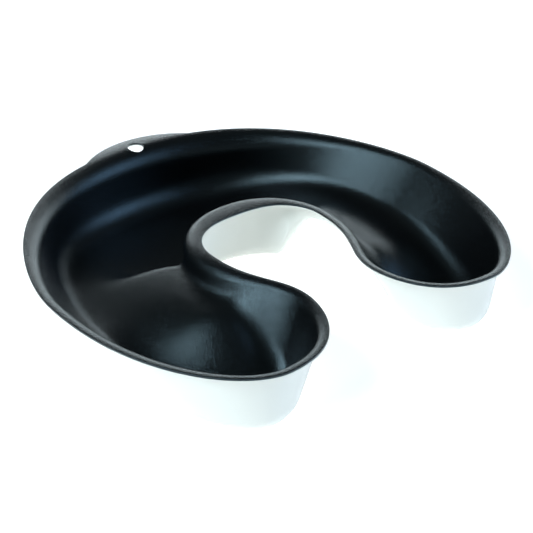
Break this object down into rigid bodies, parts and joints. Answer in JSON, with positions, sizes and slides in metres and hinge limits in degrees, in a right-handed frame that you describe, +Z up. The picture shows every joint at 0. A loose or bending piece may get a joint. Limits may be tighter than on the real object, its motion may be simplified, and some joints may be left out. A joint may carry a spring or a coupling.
{
  "type": "salon neck tray",
  "caption": "C-shaped drip trough that rests on the shoulders and closes round the neck, white outside with a black grained lining and a hang tab with a hole at the back.",
  "frame": {"origin": "centre of the bounding box in plan, on the plane that the sump and the two lobes stand on", "axes": "+X across the tray to the wearer's one side, +Y to the back, where the hang tab is, so the opening faces -Y, and +Z up"},
  "size_m": [0.431, 0.4248, 0.0705],
  "materials": {
    "white_abs": "glossy white, smooth",
    "black_abs": "black with a fine leather-like grain and a soft sheen"
  },
  "bodies": {
    "root": {"outer_shell": "white_abs", "inner_liner": "black_abs"}
  },
  "joints": []
}
